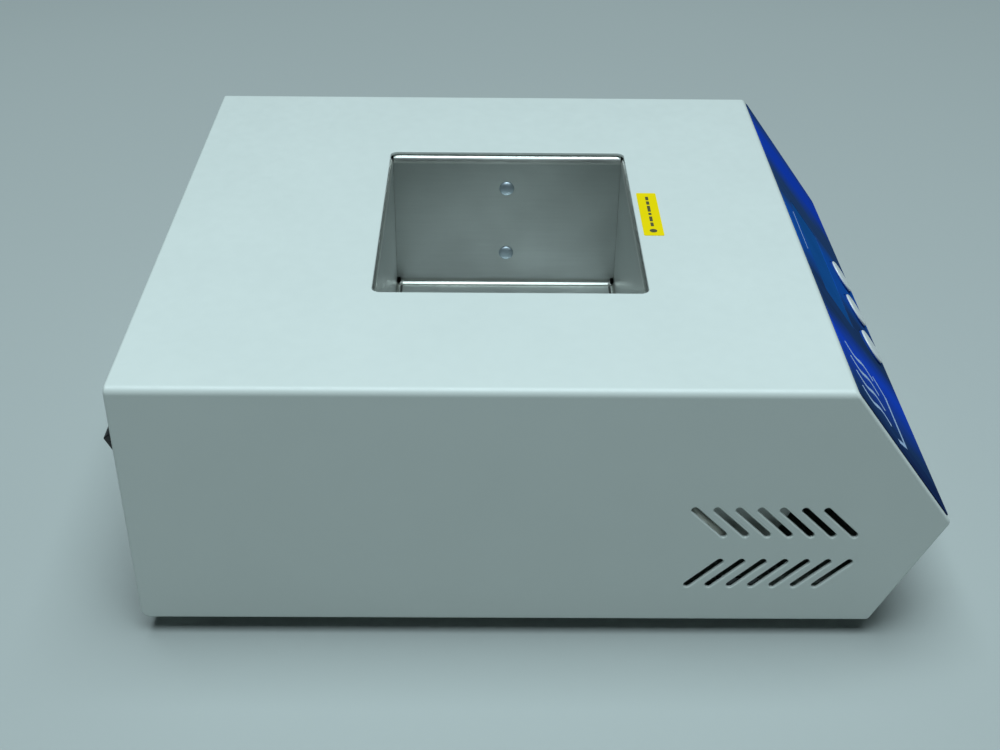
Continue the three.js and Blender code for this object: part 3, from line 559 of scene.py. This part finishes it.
def cover():
    """One folded sheet: the top and both sides, with the well's opening and the vent slots."""
    path = [(HALF_WIDTH, 0), (HALF_WIDTH, HEIGHT), (-HALF_WIDTH, HEIGHT), (-HALF_WIDTH, 0)]
    sheet = prism("cover", [folded(path, SHEET, COVER_BEND, 12)], "y", NOSE[0], 0)
    side = outline([(0, 0, 3), (0, HEIGHT), TOP_EDGE, (*NOSE, 2), (*BOTTOM_EDGE, 1.5)])
    combine(sheet, "INTERSECT", prism("side", [side], "x", -HALF_WIDTH - 1, HALF_WIDTH + 1))
    opening = rectangle(OPENING["x"], OPENING["y"], OPENING["corner"], 0, WELL_Y)
    combine(sheet, "DIFFERENCE", prism("opening", [opening], "z", HEIGHT - 5, HEIGHT + 5))
    vents = [slot(VENT["first"] - i * VENT["pitch"], z, VENT["half"], VENT["radius"], slant)
             for z, slant in zip(VENT["rows"], (45, -45)) for i in range(VENT["count"])]
    combine(sheet, "DIFFERENCE", prism("vents", vents, "x", -HALF_WIDTH - 1, HALF_WIDTH + 1))
    ridden(softened(sheet, 0.85, 4, share=cover_edge, clamp=False), "housing", "paint", "top_cover")


def under_bends(sheet):
    """Rounds a panel's upper corners so that it clears the cover's bends."""
    upper = [(INNER_HALF, CEILING, 2), (-INNER_HALF, CEILING, 2)]
    shape = outline([(-INNER_HALF, -1), (INNER_HALF, -1), *upper])
    return combine(sheet, "INTERSECT", prism("inside", [shape], "y", NOSE[0], 0))


def holes(places, radius=1.8):
    """Cutters for screw holes through the lower flanges."""
    return prism("holes", [circle(radius, x, y, 24) for x, y in places], "z", -1, FLOOR + 4)


def at_height(a, b, z):
    """The point at height z on the line through two points."""
    return (a[0] + (b[0] - a[0]) * (z - a[1]) / (b[1] - a[1]), z)


def front_sheet():
    """The front panel: a sloped face, a lower face that runs back under it, and a flange at each end."""
    top, nose, bottom = moved([TOP_EDGE, NOSE, BOTTOM_EDGE], PANEL_RECESS)
    upper = at_height(top, nose, CEILING)
    lower = at_height(nose, bottom, FLOOR)
    path = [(upper[0] + UPPER_FLANGE["front"], CEILING), upper, tuple(nose), lower,
            (lower[0] + LOWER_FLANGE["front"], FLOOR)]
    sheet = under_bends(prism("front_sheet", [folded(path, SHEET, 0.3)], "x", -INNER_HALF, INNER_HALF))
    window = rectangle(DISPLAY["width"], DISPLAY["height"], 0.5, 0, DISPLAY_Y)
    keys = [circle(BUTTON["radius"] + BUTTON["clearance"], x, BUTTON_Y) for x in KEY_PLACES]
    combine(sheet, "DIFFERENCE", prism("through", [window, *keys], "z", PANEL_BACK - 1, 1, PANEL),
            holes(FRONT_SCREWS))
    ridden(softened(sheet, 0.25), "housing", "paint", "front_panel")


def rear_sheet():
    """The rear panel: flanged at its top and bottom, with the switch's and the inlet's cut-outs."""
    path = [(-REAR_RECESS - LOWER_FLANGE["rear"], FLOOR), (-REAR_RECESS, FLOOR),
            (-REAR_RECESS, CEILING), (-REAR_RECESS - UPPER_FLANGE["rear"], CEILING)]
    sheet = under_bends(prism("rear_sheet", [folded(path, SHEET, 0.8)], "x", -INNER_HALF, INNER_HALF))
    windows = [rectangle(*part["cut_out"], 0.4, part["x"], part["z"]) for part in (SWITCH, INLET)]
    combine(sheet, "DIFFERENCE", prism("cut_outs", windows, "y", -8, 1), holes(REAR_SCREWS))
    ridden(softened(sheet, 0.25), "housing", "paint", "rear_panel")


def base_sheet():
    """The base: a flat plate with a short flange folded up at each side."""
    middle = -BASE["rear_gap"] - BASE["length"] / 2
    plate = prism("base_sheet", [rectangle(2 * INNER_HALF, BASE["length"], 1, 0, middle)], "z", 0, SHEET)
    sides = [(-INNER_HALF, BASE["flange"]), (-INNER_HALF, 0), (INNER_HALF, 0), (INNER_HALF, BASE["flange"])]
    flanges = prism("flanges", [folded(sides, SHEET, 0.8)], "y", BASE["flange_from"], BASE["flange_to"])
    combine(plate, "UNION", flanges)
    combine(plate, "DIFFERENCE", holes(FOOT_PLACES, 2.2), holes(REAR_SCREWS + FRONT_SCREWS + COVER_SCREWS))
    ridden(softened(plate, 0.2), "housing", "paint", "base_pan")


def screw(name, kind, place, node):
    """A pan-head screw pointing up, with a cross recess in its rounded head."""
    head, height, shank, length = SCREWS[kind]
    crown = [(head * math.sin(a), -height * (0.35 + 0.65 * math.cos(a)))
             for a in (math.radians(90 * i / 8) for i in range(9))]
    profile = [*crown, (head, 0), (shank, 0), (shank, length - 0.6), (shank - 0.5, length), (0, length)]
    at = HOUSING @ Matrix.Translation(place)
    obj = lathe(name, profile, at, 32)
    long, short = (head * part for part in RECESS_ARM)
    for arm in (rectangle(long, short), rectangle(short, long)):
        combine(obj, "DIFFERENCE", prism("recess", [arm], "z", -height - 1, -height * 0.3, at))
    ridden(softened(obj, 0.08, 2), "housing", "steel", node)


def foot(number, x, y):
    """A moulded rubber foot: tapered, with a ring-shaped tread round its screw's well."""
    seat, bottom = -3, -FOOT_HEIGHT
    well = [(2.4, seat), (4.1, seat), (4.3, seat - 0.2), (4.3, bottom + 0.4), (4.7, bottom)]
    tread = [(7.0, bottom), (7.5, bottom + 0.15), (7.85, bottom + 0.5), (8.0, bottom + 0.9)]
    shoulder = [(8.75, -0.9), (8.95, -0.5), (8.95, -0.2), (8.85, -0.1), (2.4, -0.1)]
    at = HOUSING @ Matrix.Translation((x, y, 0))
    obj = lathe(f"rubber_foot_{number}", [*well, *tread, *shoulder], at)
    obj.data.shade_smooth()
    obj.data.set_sharp_from_angle(angle=math.radians(40))
    ridden(obj, "housing", "rubber", f"foot_{number}")
    screw(f"foot_fixing_{number}", "foot", (x, y, seat - 0.1), f"foot_screw_{number}")


# ------------------------------------------------------------------ heated well
def liner():
    """A folded box: four walls folded up, open corner seams, rims folded out under the cover."""
    def strip(half, middle):
        near, far = middle - half, middle + half
        path = [(far + WELL_FLANGE, RIM), (far, RIM), (far, WELL_FLOOR),
                (near, WELL_FLOOR), (near, RIM), (near - WELL_FLANGE, RIM)]
        return folded(path, LINER, LINER_BEND, 10)

    seam = 0.05
    reach = WELL_HALF - Vector((seam, seam))
    box = prism("liner", [strip(WELL_HALF.x, 0)], "y", WELL_Y - reach.y, WELL_Y + reach.y)
    combine(box, "UNION", prism("walls", [strip(WELL_HALF.y, WELL_Y)], "x", -reach.x, reach.x))
    corners = [(i * WELL_HALF.x, WELL_Y + j * WELL_HALF.y) for i in (-1, 1) for j in (-1, 1)]
    reliefs = [circle(RELIEF["radius"], x, y, 24) for x, y in corners]
    rivet_holes = [circle(RIVET["hole"], WELL_Y, z, 24) for z in WELL_RIVETS]
    combine(box, "DIFFERENCE",
            prism("relief", reliefs, "z", WELL_FLOOR - 3, WELL_FLOOR + RELIEF["height"]),
            prism("rivet_holes", rivet_holes, "x", WELL_HALF.x - 1, WELL_HALF.x + 3))
    ridden(softened(box, 0.12, 2, 40), "housing", "well_metal", "well_liner")


def rivet(name, z, node):
    """A low dome-headed rivet through the well's right-hand wall."""
    radius, height, shank = RIVET["radius"], RIVET["height"], RIVET["shank"]
    dome = [(radius * p.y, -height * p.x) for p in arc((0, 0), 1, 0, 90, 12)]
    at = HOUSING @ Matrix.Translation((WELL_HALF.x - 0.1, WELL_Y, z)) @ Matrix.Rotation(math.pi / 2, 4, "Y")
    obj = lathe(name, [*dome, (shank, 0), (shank, 3.6), (0, 3.6)], at, 40)
    obj.data.shade_smooth()
    obj.data.set_sharp_from_angle(angle=math.radians(40))
    ridden(obj, "housing", "steel", node).data.materials[0] = TRIM["rivet"]


def sleeve():
    """A sleeved lead that runs behind the left-hand vents, on a smooth curve between cover and baffle."""
    radius = 1.3
    x = -HALF_WIDTH + SHEET + radius + 0.2
    way = [(x + 6, -146, 50), (x + 4, -152, 45), (x, -158, 38), (x, -163, 33), (x, -168, 28), (x, -173, 26),
           (x, -181, 25.5), (x, -192, 26), (x + 1, -200, 26)]
    points = [Vector(p) for p in way]
    path = []
    for i in range(1, len(points) - 2):
        for step in range(10):
            t = step / 10
            a, b, c, d = points[i - 1:i + 3]
            path.append((b * 2 + (c - a) * t + (a * 2 - b * 5 + c * 4 - d) * t ** 2
                         + (b * 3 - a - c * 3 + d) * t ** 3) / 2)
    bm = bmesh.new()
    rings = []
    for i, point in enumerate(path):
        along = (path[min(i + 1, len(path) - 1)] - path[max(i - 1, 0)]).normalized()
        side = along.cross(Vector((0, 0, 1))).normalized()
        rise = side.cross(along)
        rings.append([bm.verts.new(point + p.x * side + p.y * rise) for p in circle(radius, steps=16)])
    for near, far in zip(rings, rings[1:]):
        for i in range(16):
            bm.faces.new((near[i - 1], near[i], far[i], far[i - 1]))
    bm.faces.new(rings[0])
    bm.faces.new(rings[-1][::-1])
    obj = from_bmesh("sleeved_lead", bm)
    obj.data.shade_smooth()
    ridden(obj, "housing", "insulation")


# ------------------------------------------------------------------ control panel
def stroke(path, width):
    """An even stroke along an open path."""
    return moved(path, width / 2) + moved(path, -width / 2)[::-1]


def panel_marks():
    """The panel's printed marks: wavy lines rising over a tray, for heat, and a rule over the window."""
    x, y = HEAT_MARK["x"], HEAT_MARK["y"]
    shapes = []
    for i in (-1.5, -0.5, 0.5, 1.5):
        wave = [(x + 7.5 * i + 2 * math.sin(math.tau * t / 24), y + 17 * t / 24) for t in range(25)]
        shapes.append(stroke(wave, 1.6))
    tray = [(x - 16, y - 2), (x - 12, y - 8), (x + 12, y - 8), (x + 16, y - 2)]
    shapes.append(stroke(tray, 1.6))
    shapes.append(slot(4, DISPLAY_Y + DISPLAY["height"] / 2 + 3, 12.7, 0.3, 0))
    return shapes


def overlay():
    sheet = prism("overlay", [rectangle(2 * INNER_HALF - 0.8, SLOPE_LENGTH - 2.7, 1.5, 0, -0.35)], "z",
                  PANEL_FACE + 0.1, OVERLAY_FACE, PANEL)
    window = rectangle(DISPLAY["width"], DISPLAY["height"], 1, 0, DISPLAY_Y)
    keys = [circle(BUTTON["radius"] + BUTTON["clearance"], x, BUTTON_Y) for x in KEY_PLACES]
    combine(sheet, "DIFFERENCE", prism("through", [window, *keys], "z", PANEL_FACE - 1, 1, PANEL))
    ridden(softened(sheet, 0.1, 2), "housing", "overlay", "front_overlay")
    marks = prism("overlay_marks", panel_marks(), "z", OVERLAY_FACE - 0.1, OVERLAY_FACE + 0.02, PANEL)
    ridden(marks, "housing", "overlay").data.materials[0] = TRIM["pale"]


def window():
    shape = rectangle(DISPLAY["width"] - 0.5, DISPLAY["height"] - 0.5, 0.8, 0, DISPLAY_Y)
    obj = prism("window", [shape], "z", PANEL_BACK, OVERLAY_FACE - 0.1, PANEL)
    ridden(softened(obj, 0.15, 2), "housing", "window", "display_window")


def key(side, x):
    """A round key: a blue stem with its collar behind the panel, and a pearl cap with a rounded rim."""
    r, top, collar = BUTTON["radius"], OVERLAY_FACE + BUTTON["rise"], PANEL_BACK - FIT
    behind = collar - COLLAR["thickness"]
    plunger, end = COLLAR["plunger"], COLLAR["end"]
    at = PANEL @ Matrix.Translation((x, BUTTON_Y, 0))
    skirt = top - 0.65
    stem = [(0, end), (plunger, end), (plunger, behind), (COLLAR["radius"], behind),
            (COLLAR["radius"], collar), (r, collar), (r, skirt - 0.15), (r - 0.15, skirt), (0, skirt)]
    rim = [tuple(p) for p in arc((r - 0.7, top - 0.6), 0.45, 0, 85, 6)]
    crown = [(r - 2.5, top - 0.09), (r - 4, top - 0.03), (0, top)]
    cap = [(0, skirt - 0.1), (r - 0.25, skirt - 0.1), *rim, *crown]
    for name, profile in (("stem", stem), ("cap", cap)):
        obj = lathe(f"key_{side}_{name}", profile, at, 64)
        obj.data.shade_smooth()
        obj.data.set_sharp_from_angle(angle=math.radians(35))
        ridden(obj, f"key_{side}", "key_plastic", f"button_{side}")
        if name == "stem":
            obj.data.materials[0] = TRIM["skirt"]


def label():
    """A yellow label, with dark bars and a dot that spell nothing."""
    top = HEIGHT + LABEL["thickness"]
    shape = rectangle(LABEL["length"], LABEL["width"], 0.6, LABEL["x"], LABEL["y"])
    obj = prism("label", [shape], "z", HEIGHT + 0.01, top - 0.02)
    ridden(softened(obj, 0.04, 2), "housing", "label", "caution_label")
    left = LABEL["x"] - LABEL["length"] / 2
    bars = [(6.2, 2.6), (9.6, 3.4), (14.0, 1.6), (16.4, 4.2), (21.4, 2.4), (24.6, 2.6)]
    marks = [rectangle(width, 1.0, 0.2, left + start + width / 2, LABEL["y"]) for start, width in bars]
    marks.append(circle(1.2, left + 3.2, LABEL["y"]))
    printed = ridden(prism("label_marks", marks, "z", top - 0.03, top), "housing", "label")
    printed.data.materials[0] = TRIM["dark"]


# ------------------------------------------------------------------ mains switch and inlet
def switch():
    """The switch's bezel and barrel, hollow where the rocker sits, and four terminals at its back."""
    x, z = SWITCH["x"], SWITCH["z"]
    bezel, barrel = rectangle(*SWITCH["bezel"], 2, x, z), rectangle(*SWITCH["barrel"], 0.5, x, z)
    body = prism("switch_bezel", [bezel], "y", -REAR_RECESS + 0.05, 2.05)
    softened(body, 0.6, 4)
    pocket = rectangle(ROCKER["width"] + 0.6, 2 * (ROCKER["reach"] + 0.25), 0.6, x, z)
    terminals = [rectangle(0.8, 6.3, 0, x + dx, z + dz) for dx in (-5, 5) for dz in (-5.5, 5.5)]
    combine(body, "UNION", prism("barrel", [barrel], "y", -17, -REAR_RECESS + 0.5))
    combine(body, "DIFFERENCE", prism("pocket", [pocket], "y", ROCKER["pivot"] - 5.9, 5))
    ridden(body, "housing", "black_plastic", "switch_body")
    ridden(softened(prism("switch_terminals", terminals, "y", -25, -15), 0.15, 1), "housing", "steel")


def rocker():
    """Two faces that meet in a shallow V, ends struck from the pivot, a keel, and a mark on each face."""
    at = (HOUSING @ Matrix.Translation((SWITCH["x"], ROCKER["pivot"], SWITCH["z"]))
          @ Matrix.Rotation(math.radians(-ROCKER["tilt"]), 4, "X"))
    reach, rake, bottom = ROCKER["reach"], math.radians(ROCKER["rake"]), ROCKER["dip"]
    tip = (reach * math.sin(rake), reach * math.cos(rake))
    upper = [tuple(p) for p in arc((0, 0), reach, 90 - ROCKER["rake"], 90 + 12, 10)]
    keel = [(-4.2, 6), (-4.2, -6)]
    section = [(bottom, 0), *upper, *keel, *[(y, -z) for y, z in reversed(upper)]]
    obj = prism("rocker", [section], "x", -ROCKER["width"] / 2, ROCKER["width"] / 2, at)
    ridden(softened(obj, 0.35, 4), "rocker", "rocker_plastic", "switch_rocker")
    lean = math.atan2(tip[0] - bottom, tip[1])
    marks = {"on_mark": (1, rectangle(0.7, 3.6, 0.2)), "off_mark": (-1, circle(1.9, steps=32))}
    for name, (sign, shape) in marks.items():
        middle = Matrix.Translation((0, (bottom + tip[0]) / 2, sign * tip[1] / 2))
        face = at @ middle @ Matrix.Rotation(-sign * lean, 4, "X")
        mark = prism(name, [shape], "y", -0.3, 0.03, face)
        if name == "off_mark":
            combine(mark, "DIFFERENCE", prism("hole", [circle(1.3, steps=32)], "y", -1, 1, face))
        ridden(mark, "rocker", "rocker_plastic").data.materials[0] = TRIM["white"]


def inlet():
    """The mains inlet: a shell with its socket and the fuse drawer's cavity, and three pins."""
    x, z, face = INLET["x"], INLET["z"], INLET["face"]
    socket_z, slant = SOCKET["z"], SOCKET["slant"]
    left, right = x - SOCKET["half_width"], x + SOCKET["half_width"]
    low, high = socket_z - SOCKET["half_height"], socket_z + SOCKET["half_height"]
    mouth = outline([(left, low, 1), (right, low, 1), (right, high - slant, 1), (right - slant, high, 1),
                     (left + slant, high, 1), (left, high - slant, 1)])
    cavity = rectangle(*DRAWER["cavity"], 0.3, x, DRAWER["z"])
    shell = prism("inlet_shell", [rectangle(*INLET["shell"], 3, x, z)], "y", -REAR_RECESS + 0.05, face)
    barrel = prism("barrel", [rectangle(*INLET["barrel"], 1, x, z)], "y", -22, -REAR_RECESS + 0.5)
    combine(shell, "UNION", barrel)
    combine(shell, "DIFFERENCE", prism("socket", [mouth], "y", face - SOCKET["depth"], 5),
            prism("cavity", [cavity], "y", face - 10.4, 5))
    ridden(softened(shell, 0.35, 3), "housing", "black_plastic", "power_inlet")
    for name, dx, dz in (("live", -7, -2), ("neutral", 7, -2), ("earth", 0, 2)):
        pin = prism(f"inlet_pin_{name}", [rectangle(2, 4, 0, x + dx, socket_z + dz)], "y", -29, face - 2.5)
        ridden(softened(pin, 0.4, 3), "housing", "steel")


def drawer():
    """The fuse drawer: a face with a finger notch, and a tray with an open trough for the fuse."""
    x, z, front = INLET["x"], DRAWER["z"], INLET["face"] + 0.1
    notch = rectangle(9, 1.6, 0, x, z + DRAWER["face"][1] / 2)
    trough = rectangle(21.2, 7.9, 0, x, z + 1.05)
    obj = prism("drawer", [rectangle(*DRAWER["face"], 1, x, z)], "y", front, front + 1.6)
    combine(obj, "DIFFERENCE", prism("notch", [notch], "y", front + 0.5, front + 3))
    softened(obj, 0.3, 3)
    tray = prism("tray", [rectangle(*DRAWER["tray"], 0, x, z)], "y", front - DRAWER["depth"], front + 0.5)
    combine(obj, "UNION", tray)
    combine(obj, "DIFFERENCE", prism("trough", [trough], "y", front - 7.6, front - 1))
    ridden(obj, "fuse_carrier", "black_plastic", "fuse_drawer")


# ------------------------------------------------------------------ the object
cover()
front_sheet()
rear_sheet()
base_sheet()
for number, place in enumerate(FOOT_PLACES, 1):
    foot(number, *place)
for number, (x, y) in enumerate(COVER_SCREWS, 1):
    screw(f"cover_fixing_{number}", "sheet", (x, y, -0.1), f"cover_screw_{number}")
for end, places in (("rear", REAR_SCREWS), ("front", FRONT_SCREWS)):
    for number, (x, y) in enumerate(places, 1):
        screw(f"{end}_fixing_{number}", "sheet", (x, y, -0.1), f"{end}_panel_screw_{number}")
liner()
for place, z in zip(("upper", "lower"), WELL_RIVETS):
    rivet(f"rivet_{place}", z, f"well_rivet_{place}")
sleeve()
overlay()
window()
for side, x in zip(("left", "middle", "right"), KEY_PLACES):
    key(side, x)
label()
switch()
rocker()
inlet()
drawer()

slot_of = {row["node"]: row["material_slot"] for row in frame["record"]["subparts"]}
for node_name, node in frame["nodes"].items():
    finish = FINISH[slot_of[node_name]]
    if node_name.startswith("cover_bracket"):
        finish = TRIM["bracket"]
    elif node_name == "heat_baffle":
        finish = TRIM["baffle"]
    node.data.materials.clear()
    node.data.materials.append(finish)


# ------------------------------------------------------------------ floor, light and camera
def overhead_light():
    lamp = bpy.data.lights.new("overhead", "AREA")
    lamp.shape = "RECTANGLE"
    lamp.size, lamp.size_y = OVERHEAD["size"]
    lamp.energy = OVERHEAD["watts"]
    lamp.color = (0.78, 0.945, 1.0)
    obj = bpy.data.objects.new("overhead", lamp)
    bpy.context.scene.collection.objects.link(obj)
    obj.location = OVERHEAD["place"]
    aim = Vector(OVERHEAD["aim"]) - Vector(OVERHEAD["place"])
    obj.rotation_euler = aim.to_track_quat("-Z", "Y").to_euler()


def floor():
    bm = bmesh.new()
    bmesh.ops.create_grid(bm, x_segments=1, y_segments=1, size=3)
    mesh = bpy.data.meshes.new("floor")
    bm.to_mesh(mesh)
    bm.free()
    obj = bpy.data.objects.new("floor", mesh)
    bpy.context.scene.collection.objects.link(obj)
    s = Surface("floor", Roughness=0.7)
    s.colour(s.mixed(s.noise(3, 2), (0.41, 0.44, 0.43), (0.43, 0.46, 0.45)))
    mesh.materials.append(s.material)


def world():
    sky = bpy.data.worlds.new("studio")
    sky.use_nodes = True
    sky.node_tree.nodes["Background"].inputs["Color"].default_value = (0.70, 0.92, 1.0, 1)
    sky.node_tree.nodes["Background"].inputs["Strength"].default_value = 0.02
    bpy.context.scene.world = sky
    bpy.context.scene.view_settings.view_transform = "Standard"


def camera():
    """The viewpoint: above the object and to its left, looking down across it to the right."""
    yaw, pitch, roll = (math.radians(VIEW[angle]) for angle in ("yaw", "pitch", "roll"))
    ahead = Vector((math.cos(pitch) * math.cos(yaw), math.cos(pitch) * math.sin(yaw), -math.sin(pitch)))
    level = Vector((math.sin(yaw), -math.cos(yaw), 0))
    upright = level.cross(ahead)
    right = math.cos(roll) * level + math.sin(roll) * upright
    up = -math.sin(roll) * level + math.cos(roll) * upright
    lens = bpy.data.cameras.new("camera")
    lens.sensor_width = 36
    lens.lens = VIEW["lens"]
    lens.clip_start = 0.01
    obj = bpy.data.objects.new("camera", lens)
    bpy.context.scene.collection.objects.link(obj)
    place = HOUSING @ Vector(VIEW["place"]) * MM
    axes = Matrix((right, up, -ahead)).transposed().to_4x4()
    obj.matrix_world = Matrix.Translation(place) @ axes
    bpy.context.scene.camera = obj


floor()
world()
overhead_light()
camera()
